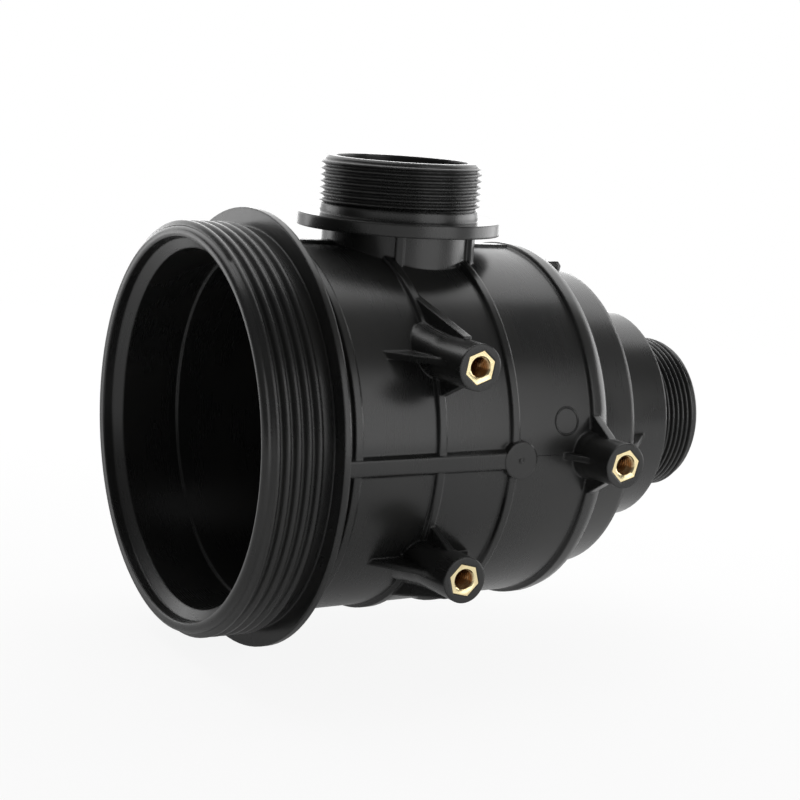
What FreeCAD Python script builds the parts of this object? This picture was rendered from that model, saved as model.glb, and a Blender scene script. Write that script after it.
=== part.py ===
"""Body of an in-line suction filter: one black moulding with three brass hex inserts.

The main axis is X, from the open mouth at -X to the outlet at +X. The inlet port
stands on top, along +Z, and its axis crosses the main axis at the origin. The three
fastening bosses face -Y. All sizes are millimetres.
"""
import FreeCAD, Part
import math
import os

VEC = FreeCAD.Vector
ORIGIN = VEC(0, 0, 0)
AXIS_X = VEC(1, 0, 0)
AXIS_Y = VEC(0, 1, 0)
AXIS_Z = VEC(0, 0, 1)

# Barrel: drafted, with ring ribs round it, a wider ring at its tail and a round shoulder
wall = 3.3
body_front_radius = 67.5
body_draft = 0.0085
body_end_x = 56.0
ring_centres_x = (-49.3, -16.3, 13.9)
ring_crest = 2.8
ring_height = 1.5
ring_flank = 0.6
tail_ring_length = 9.2
tail_ring_height = 1.4
shoulder_round = 5.5

# Mouth: a rounded lip, a collar for the cover's ring nut, and a round flange behind it
mouth_end_x = -88.0
collar_rise = 4.7
lip_round = 2.0
lip_land = 1.4
lip_bore_depth = 5.4
lip_bore_draft = 1.2
seat_cone_depth = 3.5
gasket_depth = 31.0
gasket_step = 1.0
flange_front_x = -60.4
flange_thickness = 2.4
flange_rise = 11.5

# Mouth thread: coarse and right-handed, between a plain lead-in and a plain run-out
mouth_thread_pitch = 3.9
mouth_thread_height = 1.7
mouth_thread_base = 3.3
mouth_thread_crest = 1.0
mouth_thread_lead_in = 4.7
mouth_thread_run_out = 3.4
mouth_thread_start_deg = 150.0
mouth_thread_root = 0.6

# Two steps down from the shoulder to the outlet
step_two_drop = 9.3
step_two_draft = 1.8
step_two_length = 17.1
step_three_drop = 17.2
step_three_draft = 1.0
step_three_length = 28.9

# Threaded pipe ends, both G 2: what stands here is the thread's root
pipe_root_radius = 28.33
pipe_bore_radius = 24.5
pipe_chamfer = 0.9
outlet_length = 25.8

# Port: a waisted neck with upright ribs, a round flange, a plain collar, the pipe end
neck_radius = 28.2
neck_gap = 5.2
neck_rib_angles_deg = (-28.0, 38.0)
neck_rib_width = 3.0
neck_rib_height = 1.7
port_flange_radius = 37.5
port_flange_thickness = 4.7
port_collar_rise = 0.97
port_collar_height = 3.6
port_pipe_length = 17.4

# Long ribs: one along each side, and a low one along the crown and the keel
side_line_z = -1.0
side_rib_height = 2.0
side_rib_crest = 5.2
side_rib_base = 8.8
crown_rib_height = 0.9
crown_rib_crest = 5.0
crown_rib_base = 6.6

# Tail fins: they carry the crown and keel lines over the shoulder and along step two
tail_fin_width = 3.6
tail_fin_rise = 3.0
tail_fin_shy = 0.7
tail_fin_overhang = 0.7
tail_fin_slope = 2.2
tail_fin_slope_length = 4.0
tail_fin_toe = 1.7

# Gate pad: where the moulding was filled, at the end of the near side rib
gate_pad_x = 15.5
gate_pad_radius = 6.7
gate_pad_height = 0.2
gate_pip_radius = 0.9
gate_pip_height = 0.4

# Fastening bosses on the near side, each with a flush hex insert and four webs
boss_stand_off = 18.4
boss_radius = 8.05
boss_root_radius = 10.4
boss_root_height = 1.6
boss_edge_round = 0.4
upper_boss = (-15.2, 35.4)
lower_boss = (-15.2, -37.4)
rear_boss = (48.7, -1.0)

# Webs of the bosses: thickness, how far they reach from the boss's axis or end short of
# the crown and the keel, and how far below the boss's face they end at the post
upright_web = 3.0
level_web = 2.2
upper_web_clearance = 13.6
lower_web_clearance = 11.6
outward_drop = 9.2
inward_span = 14.5
inward_drop = 9.9
level_span = 21.5
level_drop = 11.4
tail_upright_span = 14.4
tail_front_span = 14.0
tail_front_drop = 10.4
tail_web_drop = 8.9
tail_rear_short = 9.0

# A rounded corner is turned as one chord for each of this much of its radius
round_per_chord = 1.9

# Brass inserts, M8 inside
insert_flats = 10.5
insert_length = 16.0
insert_tap_radius = 3.4
insert_thread_radius = 4.0
insert_sink = 0.3
insert_hole_depth = 14.5
insert_turns_deg = {"insert_upper": 20.0, "insert_lower": 45.5, "insert_rear": 16.0}
pocket_clearance = 0.0

# What follows from the sizes above
collar_radius = body_front_radius + collar_rise
flange_radius = body_front_radius + flange_rise
flange_back_x = flange_front_x + flange_thickness
mouth_thread_front_x = mouth_end_x + mouth_thread_lead_in
mouth_thread_length = flange_front_x - mouth_thread_run_out - mouth_thread_front_x
tail_ring_front_x = body_end_x - tail_ring_length
step_two_radius = body_front_radius - step_two_drop
step_three_radius = step_two_radius - step_three_drop
step_two_end_x = body_end_x + step_two_length
step_three_end_x = step_two_end_x + step_three_length
outlet_end_x = step_three_end_x + outlet_length
side_rib_radius = body_front_radius + side_rib_height
port_flange_bottom_z = body_front_radius + neck_gap
port_flange_top_z = port_flange_bottom_z + port_flange_thickness
port_collar_top_z = port_flange_top_z + port_collar_height
port_collar_radius = pipe_root_radius + port_collar_rise
port_end_z = port_collar_top_z + port_pipe_length
boss_face_y = -(body_front_radius + boss_stand_off)
boss_places = {"insert_upper": upper_boss, "insert_lower": lower_boss, "insert_rear": rear_boss}


def body_radius(x):
    """Outer radius of the drafted barrel at a place along the main axis."""
    return body_front_radius - body_draft * (x - flange_back_x)


def crest_radius(x, height):
    """Radius of a rib's crest that stands this high on the barrel."""
    return body_radius(x) + height


def rounded_corner(before, corner, after, radius):
    """Points on the arc of this radius that touches both sides of a corner."""
    back = (before - corner).normalize()
    ahead = (after - corner).normalize()
    half = back.getAngle(ahead) / 2
    centre = corner + (back + ahead).normalize() * (radius / math.sin(half))
    start = corner + back * (radius / math.tan(half)) - centre
    end = corner + ahead * (radius / math.tan(half)) - centre
    sweep = start.getAngle(end)
    chords = math.ceil(radius / round_per_chord)
    points = []
    for k in range(chords + 1):
        share = k / chords
        part = math.sin((1 - share) * sweep) * start + math.sin(share * sweep) * end
        points.append(centre + part / math.sin(sweep))
    return points


def outline_face(corners, place):
    """Flat face inside a closed outline, with its rounded corners as short chords.

    A corner is (a, b), or (a, b, radius) where it is rounded. place makes a point
    of the pair.
    """
    here = [place(corner[0], corner[1]) for corner in corners]
    points = []
    for k, corner in enumerate(corners):
        if len(corner) == 2:
            points.append(here[k])
        else:
            points += rounded_corner(here[k - 1], here[k], here[(k + 1) % len(here)], corner[2])
    return Part.Face(Part.makePolygon(points + points[:1]))


def about_main_axis(x, radius):
    """Point of an outline that turns about the main axis."""
    return VEC(x, 0, radius)


def about_port_axis(radius, z):
    """Point of an outline that turns about the port's axis."""
    return VEC(radius, 0, z)


def lathe(corners):
    """Turn a closed outline of (x, radius) corners about the main axis."""
    return outline_face(corners, about_main_axis).revolve(ORIGIN, AXIS_X, 360)


def ring_corners(centre_x, height):
    """Outline of one ring rib on the barrel: flank, crest, flank."""
    half = ring_crest / 2
    front = centre_x - half - ring_flank
    back = centre_x + half + ring_flank
    crest = crest_radius(centre_x, height)
    return [
        (front, body_radius(front)),
        (centre_x - half, crest),
        (centre_x + half, crest),
        (back, body_radius(back)),
    ]


def outer_outline():
    """Outer outline of the turned form, from the mouth to the outlet."""
    tail_crest = crest_radius(tail_ring_front_x, tail_ring_height)
    corners = [
        (mouth_end_x, 0.0),
        (mouth_end_x, collar_radius, lip_round),
        (flange_front_x, collar_radius),
        (flange_front_x, flange_radius),
        (flange_back_x, flange_radius),
        (flange_back_x, body_radius(flange_back_x)),
    ]
    for centre_x in ring_centres_x:
        corners += ring_corners(centre_x, ring_height)
    corners += [
        (tail_ring_front_x, body_radius(tail_ring_front_x)),
        (tail_ring_front_x + ring_flank, tail_crest),
        (body_end_x, tail_crest, shoulder_round),
        (body_end_x, step_two_radius + step_two_draft),
        (step_two_end_x, step_two_radius),
        (step_two_end_x, step_three_radius + step_three_draft),
        (step_three_end_x, step_three_radius),
        (step_three_end_x, pipe_root_radius),
        (outlet_end_x - pipe_chamfer, pipe_root_radius),
        (outlet_end_x, pipe_root_radius - pipe_chamfer),
        (outlet_end_x, 0.0),
    ]
    return corners


def inner_outline():
    """Inner outline: the mouth's seat, the chamber, the stepped tail and the outlet bore."""
    lip_bore = collar_radius - lip_round - lip_land
    seat_x = mouth_end_x + lip_bore_depth
    gasket_x = mouth_end_x + gasket_depth
    bore = body_front_radius - wall
    chamber = bore - gasket_step
    chamber_end_x = body_end_x - wall
    step_two_inside = step_two_end_x - wall
    step_three_inside = step_three_end_x - wall
    return [
        (mouth_end_x - wall, 0.0),
        (mouth_end_x - wall, lip_bore),
        (mouth_end_x, lip_bore),
        (seat_x, lip_bore - lip_bore_draft),
        (seat_x + seat_cone_depth, bore),
        (gasket_x, bore),
        (gasket_x, chamber),
        (chamber_end_x - shoulder_round + wall / 2, chamber),
        (chamber_end_x, chamber - shoulder_round + wall / 2),
        (chamber_end_x, step_two_radius - wall),
        (step_two_inside, step_two_radius - wall),
        (step_two_inside, step_three_radius - wall),
        (step_three_inside, step_three_radius - wall),
        (step_three_inside, pipe_bore_radius),
        (outlet_end_x + wall, pipe_bore_radius),
        (outlet_end_x + wall, 0.0),
    ]


def port_solid():
    """Neck, flange, collar and threaded end of the port, turned about the port's axis."""
    corners = [
        (0.0, wall),
        (neck_radius, wall),
        (neck_radius, port_flange_bottom_z),
        (port_flange_radius, port_flange_bottom_z),
        (port_flange_radius, port_flange_top_z),
        (port_collar_radius, port_flange_top_z),
        (port_collar_radius, port_collar_top_z),
        (pipe_root_radius, port_collar_top_z),
        (pipe_root_radius, port_end_z - pipe_chamfer),
        (pipe_root_radius - pipe_chamfer, port_end_z),
        (0.0, port_end_z),
    ]
    return outline_face(corners, about_port_axis).revolve(ORIGIN, AXIS_Z, 360)


def neck_ribs():
    """Upright ribs round the neck, the same on both halves of the mould."""
    ribs = []
    for angle in neck_rib_angles_deg:
        for turn in (angle - 90.0, 90.0 - angle):
            bar = Part.makeBox(neck_radius + neck_rib_height, neck_rib_width, port_flange_bottom_z - wall)
            bar.translate(VEC(0, -neck_rib_width / 2, wall))
            bar.rotate(ORIGIN, AXIS_Z, turn)
            ribs.append(bar)
    return ribs


def rib_section(x, radius, crest, base, depth):
    """Closed trapezium across the main axis, with its crest at a radius under +Z."""
    corners = [
        VEC(x, -base / 2, radius - depth),
        VEC(x, -crest / 2, radius),
        VEC(x, crest / 2, radius),
        VEC(x, base / 2, radius - depth),
    ]
    return Part.makePolygon(corners + corners[:1])


def side_ribs():
    """The rib along each side, from the mouth flange to the gate pad's place."""
    ribs = []
    depth = side_rib_height + wall / 2
    start_x = flange_back_x - flange_thickness / 2
    for turn in (90.0, -90.0):
        section = rib_section(start_x, side_rib_radius, side_rib_crest, side_rib_base, depth)
        rib = Part.Face(section).extrude(AXIS_X * (gate_pad_x - start_x))
        rib.rotate(ORIGIN, AXIS_X, turn)
        rib.translate(VEC(0, 0, side_line_z))
        ribs.append(rib)
    return ribs


def crown_ribs():
    """The low rib along the crown and its twin along the keel, on the mould's parting plane."""
    ribs = []
    depth = crown_rib_height + wall / 2
    ends = (flange_back_x - flange_thickness / 2, tail_ring_front_x + ring_flank)
    for turn in (0.0, 180.0):
        sections = []
        for x in ends:
            crest = crest_radius(x, crown_rib_height)
            sections.append(rib_section(x, crest, crown_rib_crest, crown_rib_base, depth))
        rib = Part.makeLoft(sections, True, True)
        rib.rotate(ORIGIN, AXIS_X, turn)
        ribs.append(rib)
    return ribs


def tail_fins():
    """The fin over the shoulder and along step two, on the crown and on the keel."""
    fins = []
    crest = crest_radius(tail_ring_front_x, tail_ring_height) - tail_fin_shy
    foot = step_two_radius - wall / 2
    top = step_two_radius + tail_fin_rise
    shoulder_x = body_end_x - tail_fin_shy
    slope_x = shoulder_x + tail_fin_slope_length
    corners = [
        (body_end_x - shoulder_round, foot),
        (body_end_x - shoulder_round, crest),
        (shoulder_x, crest - tail_fin_shy),
        (slope_x, crest - tail_fin_shy - tail_fin_slope),
        (slope_x + tail_fin_toe, top),
        (step_two_end_x - tail_fin_overhang, top),
        (step_two_end_x + tail_fin_overhang, top - tail_fin_toe),
        (step_two_end_x, foot),
    ]
    for turn in (0.0, 180.0):
        fin = outline_face(corners, about_main_axis).extrude(AXIS_Y * tail_fin_width)
        fin.translate(AXIS_Y * (-tail_fin_width / 2))
        fin.rotate(ORIGIN, AXIS_X, turn)
        fins.append(fin)
    return fins


def gate_pad():
    """Round pad with a small pip at its middle."""
    face_y = -(side_rib_radius + gate_pad_height)
    inside_y = wall / 2 - body_radius(gate_pad_x)
    pad = Part.makeCylinder(
        gate_pad_radius, inside_y - face_y, VEC(gate_pad_x, inside_y, side_line_z), -AXIS_Y,
    )
    pip = Part.makeCylinder(
        gate_pip_radius, gate_pip_height, VEC(gate_pad_x, face_y, side_line_z), -AXIS_Y,
    )
    return [pad, pip]


def barrel_y(x, z):
    """The y of the barrel's near side at a place along it and a height."""
    return -math.sqrt(body_radius(x) ** 2 - z * z)


def boss_post(place, root_y):
    """The post of a boss, from inside the wall at root_y, with its wider foot."""
    x, z = place
    root = VEC(x, root_y, z)
    length = root_y - boss_face_y
    post = Part.makeCylinder(boss_radius, length, root, -AXIS_Y)
    foot_length = root_y - barrel_y(x, z) + boss_root_height
    foot = Part.makeCone(
        boss_root_radius, boss_root_radius - boss_root_height, foot_length, root, -AXIS_Y,
    )
    return [post, foot]


def web(place, direction, corners, thickness):
    """A web in the plane of a boss's axis and of a direction across it.

    A corner is (distance from the boss's axis, y).
    """
    across = VEC(direction[0], 0, direction[1])
    side = VEC(direction[1], 0, -direction[0])
    start = VEC(place[0], 0, place[1]) - side * (thickness / 2)
    points = [start + across * s + AXIS_Y * y for s, y in corners]
    return Part.Face(Part.makePolygon(points + points[:1])).extrude(side * thickness)


def barrel_webs(place, clearance):
    """Four webs of a boss that stands on the barrel, above or below the side rib."""
    x, z = place
    outward_span = body_front_radius - clearance - abs(z)
    away = 1 if z > 0 else -1
    inside_y = barrel_y(x, z) + wall
    outward_y = barrel_y(x, abs(z) + outward_span)
    inward_y = barrel_y(x, abs(z) - inward_span)
    outward_top = boss_face_y + outward_drop
    inward_top = boss_face_y + inward_drop
    level_top = boss_face_y + level_drop
    outward = [
        (0, inside_y), (outward_span, outward_y + wall / 2), (outward_span, outward_y),
        (boss_radius + upright_web / 3, outward_top), (0, outward_top),
    ]
    inward = [(0, inside_y), (inward_span, inward_y + wall / 2), (boss_radius, inward_top), (0, inward_top)]
    level = [
        (0, inside_y), (level_span, inside_y - wall / 2),
        (boss_radius - boss_edge_round, level_top), (0, level_top),
    ]
    return [
        web(place, (0, away), outward, upright_web),
        web(place, (0, -away), inward, upright_web),
        web(place, (-1, 0), level, level_web),
        web(place, (1, 0), level, level_web),
    ]


def tail_webs(place):
    """Four webs of the rear boss, one of which runs down over both steps."""
    x, z = place
    surface_y = barrel_y(x, z)
    inside_y = surface_y + wall
    top = boss_face_y + tail_web_drop
    front_top = boss_face_y + tail_front_drop
    upright = [
        (0, inside_y), (tail_upright_span, inside_y), (tail_upright_span, surface_y),
        (boss_radius, top), (0, top),
    ]
    front = [(0, inside_y), (tail_front_span, inside_y - wall / 2), (boss_radius, front_top), (0, front_top)]
    step_y = wall / 2 - step_three_radius
    reach = step_three_end_x - tail_rear_short - x
    rear = [(0, step_y), (reach, step_y), (boss_radius, top), (0, top)]
    return [
        web(place, (0, 1), upright, upright_web),
        web(place, (0, -1), upright, upright_web),
        web(place, (-1, 0), front, level_web),
        web(place, (1, 0), rear, level_web),
    ]


def bosses():
    """The three posts with their webs."""
    pieces = []
    for place, clearance in ((upper_boss, upper_web_clearance), (lower_boss, lower_web_clearance)):
        pieces += boss_post(place, barrel_y(*place) + 2 * wall)
        pieces += barrel_webs(place, clearance)
    pieces += boss_post(rear_boss, wall / 2 - step_two_radius)
    pieces += tail_webs(rear_boss)
    return pieces


def insert_bar(name, clearance):
    """The hexagonal bar of one insert, from the boss's face inwards along +Y."""
    x, z = boss_places[name]
    corner = (insert_flats / 2 + clearance) / math.cos(math.radians(30))
    points = []
    for k in range(6):
        a = math.radians(insert_turns_deg[name] + 60 * k)
        points.append(VEC(x + corner * math.cos(a), boss_face_y, z + corner * math.sin(a)))
    return Part.Face(Part.makePolygon(points + points[:1])).extrude(AXIS_Y * insert_length)


def mouth_thread():
    """The ridge of the mouth thread: a trapezium swept along its helix."""
    helix = Part.makeHelix(mouth_thread_pitch, mouth_thread_length, collar_radius)
    bottom = collar_radius - mouth_thread_root
    top = collar_radius + mouth_thread_height
    half_crest = mouth_thread_crest / 2
    flank = (mouth_thread_base / 2 - half_crest) / mouth_thread_height
    half_root = half_crest + flank * (mouth_thread_height + mouth_thread_root)
    corners = [
        VEC(bottom, 0, -half_root),
        VEC(top, 0, -half_crest),
        VEC(top, 0, half_crest),
        VEC(bottom, 0, half_root),
    ]
    profile = Part.makePolygon(corners + corners[:1])
    ridge = Part.Wire(helix.Edges).makePipeShell([profile], True, True)
    ridge.rotate(ORIGIN, AXIS_Y, 90)
    ridge.rotate(ORIGIN, AXIS_X, mouth_thread_start_deg)
    ridge.translate(AXIS_X * mouth_thread_front_x)
    return ridge


def housing_body():
    """The moulding: everything added first, then the hollow, the bores and the pockets."""
    extras = [port_solid()]
    extras += neck_ribs()
    extras += side_ribs()
    extras += crown_ribs()
    extras += tail_fins()
    extras += gate_pad()
    extras += bosses()
    solid = lathe(outer_outline()).fuse(extras)
    solid = solid.removeSplitter()
    port_bore = Part.makeCylinder(pipe_bore_radius, port_end_z, AXIS_Z * wall, AXIS_Z)
    tools = [lathe(inner_outline()), port_bore]
    tools += [insert_bar(name, pocket_clearance) for name in boss_places]
    solid = solid.cut(tools)
    solid = solid.fuse(mouth_thread())
    return solid.Solids[0]


def insert(name):
    """One brass hex insert, flush with its boss, with a blind tapped hole."""
    x, z = boss_places[name]
    mouth = VEC(x, boss_face_y, z)
    sink_radius = insert_thread_radius + insert_sink
    hole = Part.makeCylinder(insert_tap_radius, insert_hole_depth, mouth, AXIS_Y)
    sink = Part.makeCone(sink_radius, insert_tap_radius, sink_radius - insert_tap_radius, mouth, AXIS_Y)
    return insert_bar(name, 0.0).cut([hole, sink]).Solids[0]


def main():
    """Build each piece and write it to its own file."""
    os.makedirs("parts", exist_ok=True)
    pieces = {"housing_body": housing_body()}
    for name in boss_places:
        pieces[name] = insert(name)
    for name, shape in pieces.items():
        shape.exportStep("parts/" + name + ".step")
        print(name, "valid", shape.isValid(), "volume", round(shape.Volume))


main()
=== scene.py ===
"""Looks of the filter housing: finished surfaces, pipe threads and inserts over its solids.

Lengths are metres in the solids' own frame. The main axis is X, from the open mouth at
-X to the outlet at +X. The inlet port points to +Z and the three bosses face -Y.
"""
import logging
import math
from dataclasses import dataclass, field
from enum import Enum
from typing import Mapping

import bpy
import numpy as np
from mathutils import Matrix, Vector


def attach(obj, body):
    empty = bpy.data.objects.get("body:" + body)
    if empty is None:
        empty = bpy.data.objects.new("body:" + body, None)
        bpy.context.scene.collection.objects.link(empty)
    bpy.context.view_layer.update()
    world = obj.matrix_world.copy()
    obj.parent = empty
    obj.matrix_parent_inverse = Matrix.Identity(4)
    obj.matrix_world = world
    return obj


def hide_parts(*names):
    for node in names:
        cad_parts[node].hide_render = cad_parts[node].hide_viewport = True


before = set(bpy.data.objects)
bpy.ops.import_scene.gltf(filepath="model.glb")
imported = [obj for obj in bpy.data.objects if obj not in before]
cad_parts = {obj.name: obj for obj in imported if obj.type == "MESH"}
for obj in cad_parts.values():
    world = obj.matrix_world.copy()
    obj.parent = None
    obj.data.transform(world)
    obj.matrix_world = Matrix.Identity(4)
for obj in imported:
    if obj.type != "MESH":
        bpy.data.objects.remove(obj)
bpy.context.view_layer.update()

LOG = logging.getLogger("filter_housing")
WELD = 1e-6
TINY = 1e-18
TURN = 2 * math.pi
WHITE = (1.0, 1.0, 1.0, 1.0)
Colour = tuple[float, float, float]
Place = tuple[float, float, float]


class Axis(Enum):
    """Lines that turned and threaded pieces stand on, each with a first direction across it."""

    MAIN = ((1.0, 0.0, 0.0), (0.0, 1.0, 0.0))
    PORT = ((0.0, 0.0, 1.0), (1.0, 0.0, 0.0))
    BOSS = ((0.0, -1.0, 0.0), (1.0, 0.0, 0.0))

    @property
    def along(self) -> np.ndarray:
        """Unit vector along the line."""
        return np.array(self.value[0])

    @property
    def across(self) -> tuple[np.ndarray, np.ndarray]:
        """Two unit vectors that make a right-handed set with the line."""
        first = np.array(self.value[1])
        return first, np.cross(self.along, first)


class Wire:
    """A shader socket that takes part in sums as a number does."""

    def __init__(self, tree: bpy.types.NodeTree, socket: bpy.types.NodeSocket) -> None:
        """Hold one output socket.

        Args:
            tree: The node tree that the socket is in.
            socket: The output socket.
        """
        self.tree = tree
        self.socket = socket

    def maths(self, operation: str, *terms: "Wire | float") -> "Wire":
        """Add a Math node.

        Args:
            operation: The node's operation, such as "ADD".
            terms: Its inputs in order.

        Returns:
            The result.
        """
        node = self.tree.nodes.new("ShaderNodeMath")
        node.operation = operation
        for slot, term in zip(node.inputs, terms):
            feed(self.tree, slot, term)
        return Wire(self.tree, node.outputs[0])

    def __add__(self, other: "Wire | float") -> "Wire":
        """Sum."""
        return self.maths("ADD", self, other)

    def __radd__(self, other: float) -> "Wire":
        """Sum, the other way round."""
        return self.maths("ADD", other, self)

    def __sub__(self, other: "Wire | float") -> "Wire":
        """Difference."""
        return self.maths("SUBTRACT", self, other)

    def __rsub__(self, other: float) -> "Wire":
        """Difference, the other way round."""
        return self.maths("SUBTRACT", other, self)

    def __mul__(self, other: "Wire | float") -> "Wire":
        """Product."""
        return self.maths("MULTIPLY", self, other)

    def __rmul__(self, other: float) -> "Wire":
        """Product, the other way round."""
        return self.maths("MULTIPLY", other, self)

    def __truediv__(self, other: "Wire | float") -> "Wire":
        """Quotient."""
        return self.maths("DIVIDE", self, other)

    def clamped(self) -> "Wire":
        """The value kept between 0 and 1."""
        return self.maths("MINIMUM", self.maths("MAXIMUM", self, 0.0), 1.0)


def feed(tree: bpy.types.NodeTree, slot: bpy.types.NodeSocket, term: object) -> None:
    """Link a wire to an input, or set a constant on it.

    Args:
        tree: The node tree.
        slot: The input socket.
        term: A Wire, a number, or a tuple of numbers.
    """
    if isinstance(term, Wire):
        tree.links.new(term.socket, slot)
    else:
        slot.default_value = term


class Board:
    """A node tree that shader nodes are placed on."""

    def __init__(self, tree: bpy.types.NodeTree) -> None:
        """Clear the tree.

        Args:
            tree: The tree of a material or of the world.
        """
        tree.nodes.clear()
        self.tree = tree

    def node(
        self,
        kind: str,
        settings: Mapping[str, object],
        sockets: Mapping[str, object],
        output: str | int = 0,
    ) -> Wire:
        """Add any node: its settings first, then its sockets.

        Args:
            kind: The node's type.
            settings: Properties of the node.
            sockets: A value or a wire for each input by name.
            output: Name or number of the output that is wanted.

        Returns:
            That output.
        """
        node = self.tree.nodes.new(kind)
        for name, value in settings.items():
            setattr(node, name, value)
        for name, term in sockets.items():
            feed(self.tree, node.inputs[name], term)
        return Wire(self.tree, node.outputs[output])

    def place(self) -> Wire:
        """Object coordinates, which are metres in the solids' frame."""
        return self.node("ShaderNodeTexCoord", {}, {}, "Object")

    def noise(self, size: float, detail: float, stretch: Place = (1.0, 1.0, 1.0)) -> Wire:
        """Cloudy noise between about 0.3 and 0.7.

        Args:
            size: Width of one cloud in metres.
            detail: Number of finer layers.
            stretch: How much the pattern is squeezed along each axis.

        Returns:
            The noise's value.
        """
        scaled = self.node(
            "ShaderNodeVectorMath", {"operation": "MULTIPLY"}, {0: self.place(), 1: stretch}
        )
        return self.node(
            "ShaderNodeTexNoise", {}, {"Vector": scaled, "Scale": 1.0 / size, "Detail": detail}
        )

    def bump(self, height: Wire, depth: float, normal: Wire) -> Wire:
        """Raise a surface by a pattern.

        Args:
            height: The pattern.
            depth: How far a height of 1 stands out, in metres.
            normal: The normal that it starts from.

        Returns:
            The normal of the raised surface.
        """
        sockets = {"Strength": 1.0, "Distance": depth, "Height": height, "Normal": normal}
        return self.node("ShaderNodeBump", {}, sockets)

    def blend(self, share: Wire, first: Colour, second: Colour) -> Wire:
        """Mix two colours.

        Args:
            share: How much of the second colour.
            first: Colour at 0.
            second: Colour at 1.

        Returns:
            The mixed colour.
        """
        node = self.tree.nodes.new("ShaderNodeMix")
        node.data_type = "RGBA"
        for slot, term in ((0, share), (6, (*first, 1.0)), (7, (*second, 1.0))):
            feed(self.tree, node.inputs[slot], term)
        return Wire(self.tree, node.outputs[2])

    def turn_normal(self, share: Wire, first: Wire, second: Wire) -> Wire:
        """Mix two normals.

        Args:
            share: How much of the second normal.
            first: Normal at 0.
            second: Normal at 1.

        Returns:
            The mixed normal.
        """
        node = self.tree.nodes.new("ShaderNodeMix")
        node.data_type = "VECTOR"
        for slot, wire in ((0, share), (4, first), (5, second)):
            feed(self.tree, node.inputs[slot], wire)
        return Wire(self.tree, node.outputs[1])

    def finish(self, shader: Wire, kind: str = "ShaderNodeOutputMaterial") -> None:
        """Lead a shader to the tree's output.

        Args:
            shader: The surface's shader.
            kind: The output node's type.
        """
        output = self.tree.nodes.new(kind)
        self.tree.links.new(shader.socket, output.inputs["Surface"])


@dataclass(frozen=True)
class BlackMoulding:
    """Satin black polypropylene: moulded grain, flow clouds, fine rubbed lines, soft edges."""

    name: str = "black_moulding_finish"
    colour: Colour = (0.0125, 0.0129, 0.0128)
    pale: Colour = (0.0190, 0.0187, 0.0176)
    roughness: float = 0.28
    roughness_spread: float = 0.16
    streak: float = 0.0006
    streak_squeeze: Place = (1.0, 0.018, 0.018)
    streak_spread: float = 0.06
    streak_share: float = 0.45
    streak_depth: float = 0.0000006
    cloud: float = 0.03
    cloud_start: float = 0.35
    cloud_share: float = 2.0
    grain: float = 0.0007
    grain_share: float = 0.5
    grain_depth: float = 0.000008
    ripple: float = 0.006
    ripple_depth: float = 0.000012
    edge_round: float = 0.0011
    step_edge_x: float = 0.0731
    step_edge_reach: float = 0.0034
    step_edge_fade: float = 0.0005
    step_edge_round: float = 0.0024
    edge_samples: int = 6
    ior: float = 1.5

    def material(self) -> bpy.types.Material:
        """Build the material.

        Returns:
            The finished material.
        """
        made = bpy.data.materials.new(self.name)
        made.use_nodes = True
        board = Board(made.node_tree)
        clouds = board.noise(self.cloud, 3.0)
        specks = board.noise(self.grain, 2.0)
        waves = board.noise(self.ripple, 1.0)
        streaks = board.noise(self.streak, 3.0, self.streak_squeeze)
        samples = {"samples": self.edge_samples}
        rounded = board.node("ShaderNodeBevel", samples, {"Radius": self.edge_round})
        rounder = board.node("ShaderNodeBevel", samples, {"Radius": self.step_edge_round})
        along = board.node("ShaderNodeSeparateXYZ", {}, {"Vector": board.place()}, "X")
        off_edge = along.maths("ABSOLUTE", along - self.step_edge_x)
        at_edge = ((self.step_edge_reach - off_edge) / self.step_edge_fade).clamped()
        normal = board.turn_normal(at_edge, rounded, rounder)
        for pattern, depth in (
            (waves, self.ripple_depth),
            (streaks, self.streak_depth),
            (specks, self.grain_depth),
        ):
            normal = board.bump(pattern, depth, normal)
        paler = (clouds - self.cloud_start) * self.cloud_share
        paler = paler + (streaks - 0.5) * self.streak_share + (specks - 0.5) * self.grain_share
        share = paler.clamped()
        uneven = (clouds - 0.5) * self.roughness_spread + (streaks - 0.5) * self.streak_spread
        surface = board.node(
            "ShaderNodeBsdfPrincipled",
            {},
            {
                "Base Color": board.blend(share, self.colour, self.pale),
                "Roughness": self.roughness + uneven,
                "IOR": self.ior,
                "Normal": normal,
            },
        )
        board.finish(surface)
        return made


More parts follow.
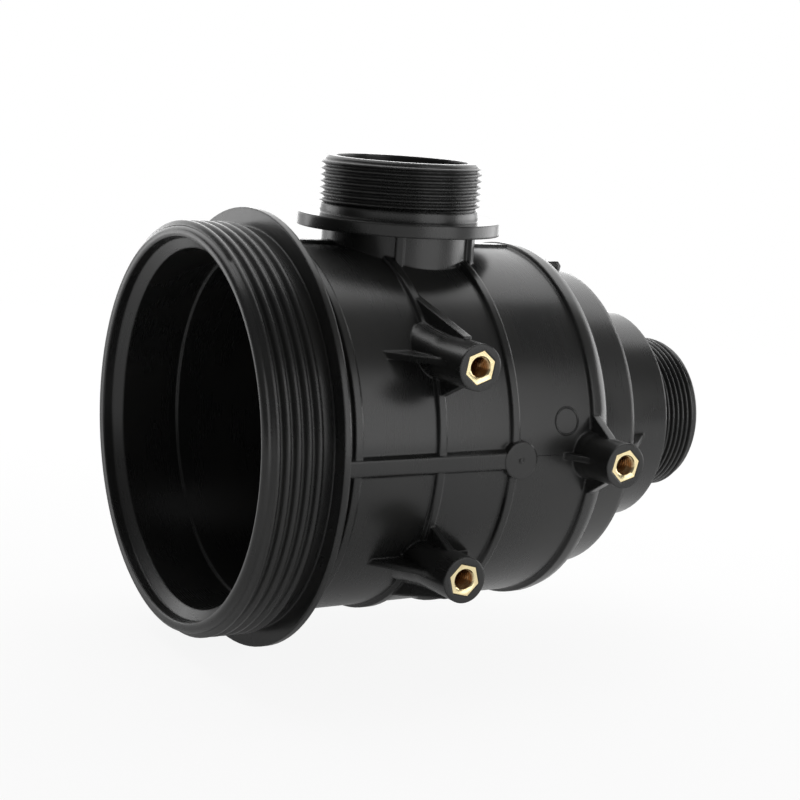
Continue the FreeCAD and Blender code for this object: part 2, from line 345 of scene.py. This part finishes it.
@dataclass(frozen=True)
class Brass:
    """Turned brass: pale on its face, with fine tool marks and random brown blotches, and painted
    shade in the hole, where it turns brown from the face inwards.
    """

    name: str = "insert_brass_finish"
    colour: Colour = (0.93, 0.79, 0.47)
    # Brown of the painted shade in the hole, also the tone of the random blotches.
    hole_shade_and_blotch: Colour = (0.26, 0.11, 0.035)
    roughness: float = 0.24
    roughness_spread: float = 0.2
    blotch: float = 0.0035
    blotch_start: float = 0.45
    shade_and_blotch_share: float = 0.9
    mark: float = 0.00025
    mark_depth: float = 0.000008
    face_y: float = -0.0859
    # How far into the hole the painted shade takes over, in metres.
    hole_shade_depth: float = 0.0012

    def material(self) -> bpy.types.Material:
        """Build the material.

        Returns:
            The finished material.
        """
        made = bpy.data.materials.new(self.name)
        made.use_nodes = True
        board = Board(made.node_tree)
        blotches = board.noise(self.blotch, 3.0)
        marks = board.noise(self.mark, 2.0)
        height = board.node("ShaderNodeSeparateXYZ", {}, {"Vector": board.place()}, "Y")
        # Painted shade: the brass turns brown from the face inwards, down the hole where its shade
        # falls; the random blotches add brown tone on the face too.
        sunk = ((height - self.face_y) / self.hole_shade_depth).clamped()
        share = ((sunk + blotches - self.blotch_start) * self.shade_and_blotch_share).clamped()
        cut = board.node(
            "ShaderNodeBump", {}, {"Strength": 1.0, "Distance": self.mark_depth, "Height": marks}
        )
        surface = board.node(
            "ShaderNodeBsdfPrincipled",
            {},
            {
                "Base Color": board.blend(share, self.colour, self.hole_shade_and_blotch),
                "Metallic": 1.0,
                "Roughness": self.roughness + (blotches - 0.5) * self.roughness_spread,
                "Normal": cut,
            },
        )
        board.finish(surface)
        return made


@dataclass(frozen=True)
class PaleFloor:
    """Plain floor that the camera sees as nearly white, with the object's shadow kept.

    Seen in the object's gloss it is whiter with distance from a place to the left of it.
    """

    name: str = "pale_floor"
    colour: Colour = (0.82, 0.82, 0.82)
    near_share: float = 0.90
    near_glossy: float = 0.22
    glossy_middle: Place = (-0.3, -0.15, 0.0)
    far_glossy: float = 1.0
    near: float = 0.25
    far: float = 0.9
    glossy_near: float = 0.34
    glossy_far: float = 0.52

    def material(self) -> bpy.types.Material:
        """Build the material.

        Returns:
            The finished material.
        """
        made = bpy.data.materials.new(self.name)
        made.use_nodes = True
        board = Board(made.node_tree)
        camera = board.node("ShaderNodeLightPath", {}, {}, "Is Camera Ray")
        glossy = board.node("ShaderNodeLightPath", {}, {}, "Is Glossy Ray")
        reach = board.node(
            "ShaderNodeVectorMath", {"operation": "LENGTH"}, {0: board.place()}, "Value"
        )
        away = ((reach - self.near) / (self.far - self.near)).clamped()
        seen = self.near_share + away * (1.0 - self.near_share)
        lit = board.node("ShaderNodeBsdfDiffuse", {}, {"Color": (*self.colour, 1.0)})
        white = board.node("ShaderNodeEmission", {}, {"Color": WHITE, "Strength": 1.0})
        aside = board.node(
            "ShaderNodeVectorMath",
            {"operation": "DISTANCE"},
            {0: board.place(), 1: self.glossy_middle},
            "Value",
        )
        out = ((aside - self.glossy_near) / (self.glossy_far - self.glossy_near)).clamped()
        shine = self.near_glossy + out * (self.far_glossy - self.near_glossy)
        share = camera * seen + glossy * shine
        mixed = board.node("ShaderNodeMixShader", {}, {0: share, 1: lit, 2: white})
        board.finish(mixed)
        return made


def mesh_object(name: str, points: np.ndarray, faces: np.ndarray) -> bpy.types.Object:
    """Make a mesh object from arrays.

    Args:
        name: Name of the piece.
        points: Vertices, one row of x, y, z each.
        faces: Vertex numbers, one row of three or four a face.

    Returns:
        The object, already in the scene.
    """
    mesh = bpy.data.meshes.new(name)
    count, sides = faces.shape
    mesh.vertices.add(len(points))
    mesh.vertices.foreach_set("co", np.ascontiguousarray(points, dtype=np.float32).ravel())
    mesh.loops.add(count * sides)
    mesh.loops.foreach_set("vertex_index", np.ascontiguousarray(faces, dtype=np.int32).ravel())
    mesh.polygons.add(count)
    mesh.polygons.foreach_set("loop_start", np.arange(0, count * sides, sides, dtype=np.int32))
    mesh.update(calc_edges=True)
    mesh.validate()
    made = bpy.data.objects.new(name, mesh)
    bpy.context.scene.collection.objects.link(made)
    return made


def closed_grid(rows: int, columns: int) -> np.ndarray:
    """Quads of a grid that closes on itself both ways, with its faces outwards.

    Args:
        rows: Number of rows, which run round the section.
        columns: Number of columns, which run round the axis.

    Returns:
        Four vertex numbers a face.
    """
    row, column = np.meshgrid(np.arange(rows), np.arange(columns), indexing="ij")
    below = (row + 1) % rows
    after = (column + 1) % columns
    corners = ((row, column), (row, after), (below, after), (below, column))
    quads = np.stack([r * columns + c for r, c in corners], axis=-1)
    return quads.reshape(-1, 4)


def round_axis(axis: Axis, along: np.ndarray, radius: np.ndarray, angle: np.ndarray) -> np.ndarray:
    """Points at a place along an axis, a radius and an angle.

    point = axis * along + (first * cos(angle) + second * sin(angle)) * radius

    Args:
        axis: The axis.
        along: Distances along it.
        radius: Distances from it.
        angle: Angles round it.

    Returns:
        One row of x, y, z each.
    """
    first, second = axis.across
    parts = (
        np.multiply.outer(along, axis.along)
        + np.multiply.outer(radius * np.cos(angle), first)
        + np.multiply.outer(radius * np.sin(angle), second)
    )
    return parts.reshape(-1, 3)


def smooth_by_angle(made: bpy.types.Object, degrees: float) -> None:
    """Shade smooth, with a crease where faces meet at more than an angle.

    Args:
        made: The mesh object.
        degrees: The angle.
    """
    mesh = made.data
    mesh.polygons.foreach_set("use_smooth", np.ones(len(mesh.polygons), dtype=bool))
    mesh.set_sharp_from_angle(angle=math.radians(degrees))


def settle(made: bpy.types.Object, finish: bpy.types.Material) -> bpy.types.Object:
    """Give a piece its material and its body.

    Args:
        made: The piece.
        finish: The material.

    Returns:
        The piece.
    """
    made.data.materials.clear()
    made.data.materials.append(finish)
    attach(made, "root")
    LOG.info("%s: %d faces", made.name, len(made.data.polygons))
    return made


@dataclass(frozen=True)
class SoftPlace:
    """A stretch of the turned form whose rounded corner is blended over a wider angle."""

    from_x: float
    to_x: float
    least_radius: float
    degrees: float


@dataclass(frozen=True)
class LipRing:
    """A ring of the mouth's outline, as the solid has it and as its finished round has it.

    A round ring's normal leans towards the mouth by its lean, in degrees. A sharp ring has
    none.
    """

    solid_x: float
    solid_radius: float
    x: float
    radius: float
    lean: float | None = None


@dataclass(frozen=True)
class BossFoot:
    """A boss's axis, and the level where the solid's plain foot ends and its post begins."""

    x: float
    z: float
    top_y: float


@dataclass
class Moulding:
    """The black moulding: the solid's own surface, welded, finished and shaded as true rounds.

    The mouth's lip and the bosses' feet get their finished rounds here.
    """

    node: str = "housing_body"
    crease: float = 12.0
    shoulder: SoftPlace = SoftPlace(0.0495, 0.0565, 0.0580, 35.0)
    lip_rings: tuple[LipRing, ...] = (
        LipRing(-0.0860, 0.0722, -0.0842, 0.0722, 0.0),
        LipRing(-0.087414, 0.071614, -0.0856, 0.0717, 38.0),
        LipRing(-0.0880, 0.0702, -0.08625, 0.0706, 76.0),
        LipRing(-0.0880, 0.0688, -0.0856, 0.0684),
        LipRing(-0.0826, 0.0676, -0.0820, 0.0679),
        LipRing(-0.0791, 0.0642, -0.0794, 0.0642),
    )
    feet: tuple[BossFoot, ...] = (
        BossFoot(-0.0152, 0.0354, -0.05864),
        BossFoot(-0.0152, -0.0374, -0.05735),
        BossFoot(0.0487, -0.001, -0.06819),
    )
    barrel_radius: float = 0.0672
    post_radius: float = 0.00805
    flare_radius: float = 0.0088
    flare_to_radius: float = 0.0084
    flare_rise: float = 0.0045
    post_rise: float = 0.009
    flare_depth: float = 0.004
    inner_reach: float = 0.00008
    inner_level: float = 0.00005
    outer_reach: float = 0.00012
    outer_level: float = 0.0006
    foot_reach: float = 0.0112
    foot_from_y: float = -0.05
    foot_to_y: float = -0.0835
    foot_degrees: float = 46.0
    ring_reach: float = 0.0001
    least_across: float = 0.15
    turn_limit: float = 1.6
    span_limit: float = 14.0
    boss_axes: tuple[Place, ...] = (
        (-0.0152, 0.0, 0.0354),
        (-0.0152, 0.0, -0.0374),
        (0.0487, 0.0, -0.001),
        (0.0155, 0.0, -0.001),
    )

    def welded(self) -> tuple[np.ndarray, np.ndarray]:
        """Join the solid's loose triangles at their shared corners.

        Returns:
            The points, and three point numbers a face.
        """
        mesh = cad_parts[self.node].data
        points = np.empty(len(mesh.vertices) * 3, dtype=np.float32)
        mesh.vertices.foreach_get("co", points)
        corners = np.empty(len(mesh.loops), dtype=np.int32)
        mesh.loops.foreach_get("vertex_index", corners)
        points = points.reshape(-1, 3).astype(float)
        keys = np.round(points / WELD).astype(np.int64)
        _, first, back = np.unique(keys, axis=0, return_index=True, return_inverse=True)
        faces = back.reshape(-1)[corners].reshape(-1, 3)
        whole = (faces != np.roll(faces, 1, axis=1)).all(axis=1)
        return points[first], faces[whole]

    def rounded_lip(self, points: np.ndarray) -> np.ndarray:
        """Move the mouth's rings of points to its finished round.

        Args:
            points: The solid's points.

        Returns:
            The points of the finished form.
        """
        moved = points.copy()
        radius = np.hypot(points[:, 1], points[:, 2])
        for ring in self.lip_rings:
            off_ring = np.hypot(points[:, 0] - ring.solid_x, radius - ring.solid_radius)
            near = off_ring < self.ring_reach
            moved[near, 0] = ring.x
            moved[near, 1:] *= (ring.radius / radius[near])[:, None]
        return moved

    def flared_feet(self, points: np.ndarray) -> np.ndarray:
        """Draw each boss's foot out along its post, so that one flare leads to the barrel.

        rise = full rise * clamp((barrel's side - foot's top) / flare depth)

        Args:
            points: The moulding's points.

        Returns:
            The points with the feet drawn out.
        """
        moved = points.copy()
        for foot in self.feet:
            across = points[:, [0, 2]] - (foot.x, foot.z)
            off_axis = np.hypot(across[:, 0], across[:, 1])
            side = -np.sqrt(np.maximum(self.barrel_radius**2 - points[:, 2] ** 2, 0.0))
            share = np.clip((side - foot.top_y) / self.flare_depth, 0.0, 1.0)
            level = np.abs(points[:, 1] - foot.top_y)
            inner = (np.abs(off_axis - self.post_radius) < self.inner_reach) & (
                level < self.inner_level
            )
            outer = (np.abs(off_axis - self.flare_radius) < self.outer_reach) & (
                level < self.outer_level
            )
            moved[inner, 1] -= (self.post_rise * share)[inner]
            moved[outer, 1] -= (self.flare_rise * share)[outer]
            narrower = 1.0 + share * (self.flare_to_radius / self.flare_radius - 1.0)
            drawn_in = across[outer] * narrower[outer, None]
            moved[np.ix_(outer, [0, 2])] = (foot.x, foot.z) + drawn_in
        return moved

    def lean_lip(self, at: np.ndarray, normals: np.ndarray) -> None:
        """Set the normals of the lip's round rings.

        normal = outwards * cos(lean) - axis * sin(lean)

        Args:
            at: The corners' places.
            normals: The corners' normals, which are changed in place.
        """
        radius = np.hypot(at[:, 1], at[:, 2])
        for ring in self.lip_rings:
            if ring.lean is None:
                continue
            near = np.hypot(at[:, 0] - ring.x, radius - ring.radius) < self.ring_reach
            lean = math.radians(ring.lean)
            normals[near, 0] = -math.sin(lean)
            normals[near, 1:] = at[near, 1:] / radius[near][:, None] * math.cos(lean)

    def turned_normals(
        self, points: np.ndarray, faces: np.ndarray, flat: np.ndarray, axis: Axis, at: np.ndarray
    ) -> tuple[np.ndarray, np.ndarray]:
        """Normals at the corners of faces that lie on a surface turned about an axis.

        A face's normal is split into a part along the axis and a part across it. Where
        the part across it points straight away from the axis, or straight at it, it is
        turned to each corner's own direction.

        Args:
            points: The points.
            faces: Three point numbers a face.
            flat: Each face's own normal.
            axis: The axis.
            at: A point on it.

        Returns:
            The corners' normals, and which faces they hold for.
        """
        first, second = axis.across
        local = points - at
        angle = np.arctan2(local @ second, local @ first)[faces]
        turn = (angle - angle[:, :1] + np.pi) % TURN - np.pi
        middle = angle[:, 0] + (turn.max(axis=1) + turn.min(axis=1)) / 2
        span = turn.max(axis=1) - turn.min(axis=1)
        along = flat @ axis.along
        across = np.hypot(flat @ first, flat @ second)
        pointing = np.arctan2(flat @ second, flat @ first)
        off = (pointing - middle + np.pi) % TURN - np.pi
        inward = np.abs(off) > np.pi / 2
        off = np.abs(np.where(inward, np.abs(off) - np.pi, off))
        aimed = (off < math.radians(self.turn_limit)) & (span < math.radians(self.span_limit))
        holds = aimed & (across > self.least_across)
        sign = np.where(inward, -1.0, 1.0) * across
        corner = (
            along[:, None, None] * axis.along
            + (sign[:, None] * np.cos(angle))[..., None] * first
            + (sign[:, None] * np.sin(angle))[..., None] * second
        )
        return corner, holds

    def corner_normals(self, points: np.ndarray, faces: np.ndarray) -> np.ndarray:
        """Normal at each face's corners: turned where it can be, then blended over soft edges.

        Args:
            points: The points.
            faces: Three point numbers a face.

        Returns:
            One normal for each corner of each face.
        """
        one, two, three = (points[faces[:, k]] for k in range(3))
        cross = np.cross(two - one, three - one)
        size = np.linalg.norm(cross, axis=1)
        flat = cross / np.maximum(size, TINY)[:, None]
        corner = np.repeat(flat[:, None, :], 3, axis=1)
        open_faces = np.ones(len(faces), dtype=bool)
        lines = [(Axis.MAIN, np.zeros(3)), (Axis.PORT, np.zeros(3))]
        lines += [(Axis.BOSS, np.array(at)) for at in self.boss_axes]
        for axis, at in lines:
            turned, holds = self.turned_normals(points, faces, flat, axis, at)
            chosen = holds & open_faces
            corner[chosen] = turned[chosen]
            open_faces &= ~chosen
        return self.blended(points, faces, corner, size)

    def blended(
        self, points: np.ndarray, faces: np.ndarray, corner: np.ndarray, size: np.ndarray
    ) -> np.ndarray:
        """Average each corner with its neighbours whose normals are near, larger faces first.

        Args:
            points: The points.
            faces: Three point numbers a face.
            corner: The corners' normals.
            size: Twice each face's area.

        Returns:
            The blended normals.
        """
        owner = faces.reshape(-1)
        normal = corner.reshape(-1, 3)
        weight = np.repeat(size, 3) ** 2
        order = np.argsort(owner, kind="stable")
        starts = np.searchsorted(owner[order], np.arange(len(points)))
        counts = np.diff(np.append(starts, len(owner)))
        limit = np.full(len(points), self.crease)
        reach = np.hypot(points[:, 1], points[:, 2])
        soft = self.shoulder
        inside = (points[:, 0] > soft.from_x) & (points[:, 0] < soft.to_x)
        limit[inside & (reach > soft.least_radius)] = soft.degrees
        for foot in self.feet:
            off_axis = np.hypot(points[:, 0] - foot.x, points[:, 2] - foot.z)
            inside = (points[:, 1] < self.foot_from_y) & (points[:, 1] > self.foot_to_y)
            limit[inside & (off_axis < self.foot_reach)] = self.foot_degrees
        limit = np.cos(np.radians(limit))[owner]
        total = np.zeros_like(normal)
        for step in range(int(counts.max())):
            has = counts[owner] > step
            other = order[np.minimum(starts[owner] + step, len(owner) - 1)]
            near = has & (np.einsum("ij,ij->i", normal, normal[other]) > limit)
            total += (near * weight[other])[:, None] * normal[other]
        return total / np.maximum(np.linalg.norm(total, axis=1), TINY)[:, None]

    def build(self, finish: bpy.types.Material) -> bpy.types.Object:
        """Build the piece that is seen in the solid's place.

        Args:
            finish: The moulding's material.

        Returns:
            The piece.
        """
        points, faces = self.welded()
        points = self.flared_feet(self.rounded_lip(points))
        normals = self.corner_normals(points, faces)
        self.lean_lip(points[faces.reshape(-1)], normals)
        made = mesh_object("moulding", points, faces)
        made.data.polygons.foreach_set("use_smooth", np.ones(len(made.data.polygons), dtype=bool))
        if len(made.data.loops) == len(normals):
            made.data.normals_split_custom_set(normals.tolist())
        else:
            LOG.warning("the moulding lost faces when it was checked, so its shading is plain")
        settle(made, finish)
        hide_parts(self.node)
        return made


@dataclass
class PipeThread:
    """The outside thread of one pipe end, as a thin sleeve over the plain root."""

    name: str
    axis: Axis
    start: float
    end: float
    runs_in: float
    runs_out: float
    root: float = 0.02833
    height: float = 0.001479
    pitch: float = 0.002309
    sunk: float = 0.0004
    lift: float = 0.00002
    crest_share: float = 0.16
    root_share: float = 0.2
    easing: float = 0.4
    crease: float = 50.0
    start_angle: float = 0.6
    columns: int = 220
    rows_per_turn: int = 14

    def ridge(self, turns: np.ndarray) -> np.ndarray:
        """Height of the ridge, 0 in the groove and 1 on the crest.

        With p the distance to the nearest crest as a share of the pitch, the flank is a
        straight line from the crest's half width to the groove's, eased at both ends.

        Args:
            turns: Place along the thread, in turns.

        Returns:
            The height.
        """
        p = np.abs((turns + 0.5) % 1.0 - 0.5)
        flank = (p - self.crest_share / 2) / (0.5 - self.crest_share / 2 - self.root_share / 2)
        flank = np.clip(flank, 0.0, 1.0)
        eased = flank * flank * (3.0 - 2.0 * flank)
        return 1.0 - eased * self.easing - flank * (1.0 - self.easing)

    def build(self, finish: bpy.types.Material) -> bpy.types.Object:
        """Build the sleeve: r = root + lift + height * ridge(s / pitch - angle / turn) * fade.

        Args:
            finish: The moulding's material.

        Returns:
            The piece.
        """
        count = int(round((self.end - self.start) / self.pitch * self.rows_per_turn)) + 1
        places = np.linspace(self.start, self.end, count)
        along = np.concatenate([places, [self.end, self.start]])
        angle = np.linspace(0.0, TURN, self.columns, endpoint=False)
        s, a = np.meshgrid(along, angle, indexing="ij")
        fade = np.minimum((s - self.start) / self.runs_in, (self.end - s) / self.runs_out)
        fade = np.clip(fade, 0.0, 1.0)
        turns = s / self.pitch - (a + self.start_angle) / TURN
        radius = self.root + self.lift + self.height * self.ridge(turns) * fade
        radius[-2:] = self.root - self.sunk
        points = round_axis(self.axis, s.ravel(), radius.ravel(), a.ravel())
        made = mesh_object(self.name, points, closed_grid(len(along), self.columns))
        smooth_by_angle(made, self.crease)
        return settle(made, finish)


@dataclass
class HexInsert:
    """One brass hexagon, flush with its boss, with a countersink and a real thread."""

    node: str
    at: Place
    turn: float
    flats: float = 0.0105
    length: float = 0.016
    corner_break: float = 0.0002
    sink_radius: float = 0.0040
    crest_radius: float = 0.0033
    groove_radius: float = 0.0039
    pitch: float = 0.00125
    hole_depth: float = 0.0145
    sink_share: float = 0.6
    pole_radius: float = 0.0002
    crease: float = 38.0
    columns: int = 96
    rows_per_turn: int = 8

    def hexagon(self, angle: np.ndarray, inset: float) -> np.ndarray:
        """Distance to the hexagon's side: half the flats over the cosine to its middle.

        Args:
            angle: Angles from a corner.
            inset: How far inside the full hexagon.

        Returns:
            The distances.
        """
        sixth = np.pi / 3
        to_middle = angle % sixth - sixth / 2
        return (self.flats / 2 - inset) / np.cos(to_middle)

    def thread_rings(self, angle: np.ndarray) -> tuple[np.ndarray, np.ndarray]:
        """Rings of the hole's thread, from its countersink down.

        radius = crest + (groove - crest) * (1 - cos(depth / pitch + angle / turn)) / 2

        Args:
            angle: Angles round the hole.

        Returns:
            The rings' depths and their radii at each angle.
        """
        top = self.sink_radius - self.crest_radius
        bottom = self.hole_depth - self.pitch
        count = int((bottom - top) / self.pitch * self.rows_per_turn)
        depth = np.linspace(top * self.sink_share, bottom, count)
        turns = depth[:, None] / self.pitch + angle / TURN
        wave = 0.5 - 0.5 * np.cos(TURN * turns)
        return depth, self.crest_radius + (self.groove_radius - self.crest_radius) * wave

    def build(self, finish: bpy.types.Material) -> bpy.types.Object:
        """Build the insert from rings that run from its back, over its face, to the hole's end.

        Args:
            finish: The brass.

        Returns:
            The piece, which is seen in the solid's place.
        """
        angle = np.linspace(0.0, TURN, self.columns, endpoint=False)
        level = np.ones_like(angle)
        side = self.hexagon(angle, 0.0)
        inner = self.hexagon(angle, self.corner_break)
        pole = self.pole_radius * level
        depth, thread = self.thread_rings(angle)
        before = (self.length, self.length, self.corner_break, 0.0, 0.0)
        along = -np.concatenate([before, depth, (self.hole_depth, self.hole_depth)])
        sink = self.sink_radius * level
        end = self.crest_radius * level
        radius = np.vstack([pole, side, side, inner, sink, thread, end, pole])
        along = np.broadcast_to(along[:, None], radius.shape)
        turned = np.broadcast_to(angle + math.radians(self.turn), radius.shape)
        points = round_axis(Axis.BOSS, along.ravel(), radius.ravel(), turned.ravel())
        made = mesh_object(
            self.node + "_brass", points + np.array(self.at), self.faces(len(radius))
        )
        smooth_by_angle(made, self.crease)
        settle(made, finish)
        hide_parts(self.node)
        return made

    def faces(self, rings: int) -> np.ndarray:
        """Quads between the rings, with both small end rings closed by quads across them.

        Args:
            rings: Number of rings.

        Returns:
            Four vertex numbers a face.
        """
        wrapped = closed_grid(rings, self.columns)[: (rings - 1) * self.columns, ::-1]
        half = self.columns // 2
        step = np.arange(half - 1)
        facing = self.columns - 1 - step
        across = np.stack([step, step + 1, facing - 1, facing], axis=-1)
        end = across + (rings - 1) * self.columns
        return np.concatenate([wrapped, across, end[:, ::-1]])


@dataclass
class MouldMarks:
    """Fine marks on the barrel: the parting line, and one bare round place beside it."""

    front_radius: float = 0.0675
    draft: float = 0.0085
    front_x: float = -0.058
    line_from: float = 0.0221
    line_to: float = 0.0358
    line_z: float = -0.00035
    line_width: float = 0.0003
    line_rise: float = 0.00012
    mark_x: float = 0.0365
    mark_z: float = 0.0116
    mark_radius: float = 0.0048
    rim_width: float = 0.0009
    rim_rise: float = 0.0002
    line_end: float = 0.02
    line_taper: float = 0.4
    crease: float = 60.0
    columns: int = 72
    rows: int = 8

    def on_barrel(self, x: np.ndarray, z: np.ndarray, rise: np.ndarray) -> np.ndarray:
        """Points on the barrel's near side, lifted by a rise.

        Args:
            x: Places along the barrel.
            z: Heights.
            rise: How far out of the surface.

        Returns:
            One row of x, y, z each.
        """
        radius = self.front_radius - self.draft * (x - self.front_x)
        angle = np.arcsin(z / radius)
        reach = radius + rise
        return np.stack([x, -reach * np.cos(angle), reach * np.sin(angle)], axis=-1).reshape(-1, 3)

    def line(self, finish: bpy.types.Material) -> bpy.types.Object:
        """The thin bead left where the mould's halves meet.

        Args:
            finish: The moulding's material.

        Returns:
            The piece.
        """
        turn = np.linspace(0.0, TURN, self.rows, endpoint=False)
        places = np.linspace(self.line_from, self.line_to, self.columns)
        x, t = np.meshgrid(places, turn, indexing="ij")
        bow = np.sin(np.linspace(self.line_end, math.pi - self.line_end, self.columns))
        taper = bow[:, None] ** self.line_taper
        z = self.line_z + self.line_width / 2 * np.cos(t) * taper
        rise = self.line_rise * np.sin(t) * taper
        points = self.on_barrel(x, z, rise)
        quads = closed_grid(self.columns, self.rows)[: (self.columns - 1) * self.rows]
        first = np.arange(self.rows // 2 - 1)
        cap = np.stack([first, first + 1, self.rows - 2 - first, self.rows - 1 - first], axis=-1)
        quads = np.concatenate([quads, cap, (cap + (self.columns - 1) * self.rows)[:, ::-1]])
        made = mesh_object("parting_line", points, quads)
        smooth_by_angle(made, self.crease)
        return settle(made, finish)

    def round_place(self, finish: bpy.types.Material) -> bpy.types.Object:
        """A low bare ring: a round section swept round a circle laid on the barrel.

        Args:
            finish: The moulding's material.

        Returns:
            The piece.
        """
        turn = np.linspace(0.0, TURN, self.rows, endpoint=False)
        circle = np.linspace(0.0, TURN, self.columns, endpoint=False)
        t, a = np.meshgrid(turn, circle, indexing="ij")
        reach = self.mark_radius + self.rim_width / 2 * np.cos(t)
        x = self.mark_x + reach * np.cos(a)
        z = self.mark_z + reach * np.sin(a)
        points = self.on_barrel(x, z, self.rim_rise * np.sin(t))
        made = mesh_object("bare_round_mark", points, closed_grid(self.rows, self.columns))
        smooth_by_angle(made, self.crease)
        return settle(made, finish)


@dataclass(frozen=True)
class Softbox:
    """A soft lamp: its middle, the way it faces, its width and height, and its brightness."""

    name: str
    at: Place
    faces: Place
    width: float
    height: float
    brightness: float

    def hang(self) -> None:
        """Put the lamp in the scene, where only the object and the floor see it."""
        data = bpy.data.lights.new(self.name, "AREA")
        data.shape = "RECTANGLE"
        data.size = self.width
        data.size_y = self.height
        data.energy = self.brightness * math.pi * self.width * self.height
        lamp = bpy.data.objects.new(self.name, data)
        lamp.location = self.at
        lamp.visible_camera = False
        lamp.rotation_mode = "QUATERNION"
        lamp.rotation_quaternion = Vector(self.faces).to_track_quat("-Z", "Y")
        bpy.context.scene.collection.objects.link(lamp)


@dataclass
class Studio:
    """Floor, soft lamps and a dim room, white to the camera."""

    floor_z: float = -0.0796
    floor_half: float = 6.0
    room: float = 0.17
    softboxes: tuple[Softbox, ...] = (
        Softbox("overhead", (0.54, 0.575, 0.45), (0.0, -0.571, -0.821), 1.75, 1.40, 1.8),
        Softbox("front", (0.35, -1.04, 0.36), (-0.35, 1.04, -0.2), 0.80, 0.83, 1.8),
        Softbox("right_side", (1.05, -0.06, 0.10), (-1.0, 0.06, -0.05), 0.95, 0.7, 3.2),
        Softbox("back_left", (-0.62, 0.80, 0.12), (0.6, -0.79, -0.1), 0.6, 0.38, 2.0),
        Softbox("backdrop", (0.66, 1.10, 0.12), (-0.51, -0.84, 0.0), 1.1, 0.36, 2.2),
    )

    def floor(self) -> bpy.types.Object:
        """The floor, under the object's lowest point.

        Returns:
            The floor.
        """
        half = self.floor_half
        corners = [(-half, -half), (half, -half), (half, half), (-half, half)]
        points = np.array([(x, y, self.floor_z) for x, y in corners])
        made = mesh_object("floor", points, np.array([[0, 1, 2, 3]]))
        made.data.materials.append(PaleFloor().material())
        return made

    def room_light(self) -> None:
        """Set the world: white to the camera, dim to everything else."""
        world = bpy.data.worlds.new("room")
        world.use_nodes = True
        board = Board(world.node_tree)
        camera = board.node("ShaderNodeLightPath", {}, {}, "Is Camera Ray")
        dim = board.node("ShaderNodeBackground", {}, {"Color": WHITE, "Strength": self.room})
        white = board.node("ShaderNodeBackground", {}, {"Color": WHITE, "Strength": 1.0})
        mixed = board.node("ShaderNodeMixShader", {}, {0: camera, 1: dim, 2: white})
        board.finish(mixed, "ShaderNodeOutputWorld")
        bpy.context.scene.world = world

    def build(self) -> None:
        """Set up the whole studio."""
        self.floor()
        for softbox in self.softboxes:
            softbox.hang()
        self.room_light()
        bpy.context.scene.view_settings.view_transform = "Standard"


@dataclass
class PhotoCamera:
    """The camera at the photograph's viewing angle, solved from the object's circles."""

    azimuth: float = -30.53
    elevation: float = 10.64
    roll: float = 3.96
    distance: float = 0.71028
    aim_right: float = 0.00523
    aim_up: float = 0.00833
    lens: float = 84.78
    sensor: float = 36.0

    def build(self) -> bpy.types.Object:
        """Place the camera on its ray, aimed a little beside the object's origin.

        Returns:
            The camera.
        """
        a = math.radians(self.azimuth)
        e = math.radians(self.elevation)
        roll = math.radians(self.roll)
        back = Vector((math.sin(a) * math.cos(e), -math.cos(a) * math.cos(e), math.sin(e)))
        flat_right = Vector((math.cos(a), math.sin(a), 0.0))
        flat_up = back.cross(flat_right)
        at = back * self.distance
        target = flat_right * self.aim_right + flat_up * self.aim_up
        back = (at - target).normalized()
        right = Vector((0.0, 0.0, 1.0)).cross(back).normalized()
        up = back.cross(right)
        tilted_right = right * math.cos(roll) + up * math.sin(roll)
        tilted_up = up * math.cos(roll) - right * math.sin(roll)
        turn = Matrix((tilted_right, tilted_up, back)).transposed()
        data = bpy.data.cameras.new("photo_camera")
        data.lens = self.lens
        data.sensor_width = self.sensor
        camera = bpy.data.objects.new("photo_camera", data)
        camera.matrix_world = Matrix.Translation(at) @ turn.to_4x4()
        bpy.context.scene.collection.objects.link(camera)
        bpy.context.scene.camera = camera
        return camera


@dataclass
class FilterHousing:
    """The whole object: the moulding, its two pipe threads, its marks and its inserts."""

    moulding: Moulding = field(default_factory=Moulding)
    outlet_thread: PipeThread = field(
        default_factory=lambda: PipeThread(
            "outlet_thread", Axis.MAIN, 0.1085, 0.1257, runs_in=0.0008, runs_out=0.0007
        )
    )
    inlet_thread: PipeThread = field(
        default_factory=lambda: PipeThread(
            "inlet_thread", Axis.PORT, 0.0811, 0.0972, runs_in=0.0006, runs_out=0.0006
        )
    )
    marks: MouldMarks = field(default_factory=MouldMarks)
    inserts: tuple[HexInsert, ...] = (
        HexInsert("insert_upper", (-0.0152, -0.0859, 0.0354), 20.0),
        HexInsert("insert_lower", (-0.0152, -0.0859, -0.0374), 45.5),
        HexInsert("insert_rear", (0.0487, -0.0859, -0.001), 16.0),
    )

    def build(self) -> None:
        """Build and dress every piece."""
        black = BlackMoulding().material()
        brass = Brass().material()
        self.moulding.build(black)
        self.outlet_thread.build(black)
        self.inlet_thread.build(black)
        self.marks.line(black)
        self.marks.round_place(black)
        for insert in self.inserts:
            insert.build(brass)


def main() -> None:
    """Build the object, then the studio and the camera."""
    logging.basicConfig(level=logging.INFO, format="%(message)s")
    FilterHousing().build()
    Studio().build()
    PhotoCamera().build()


if __name__ == "__main__":
    main()
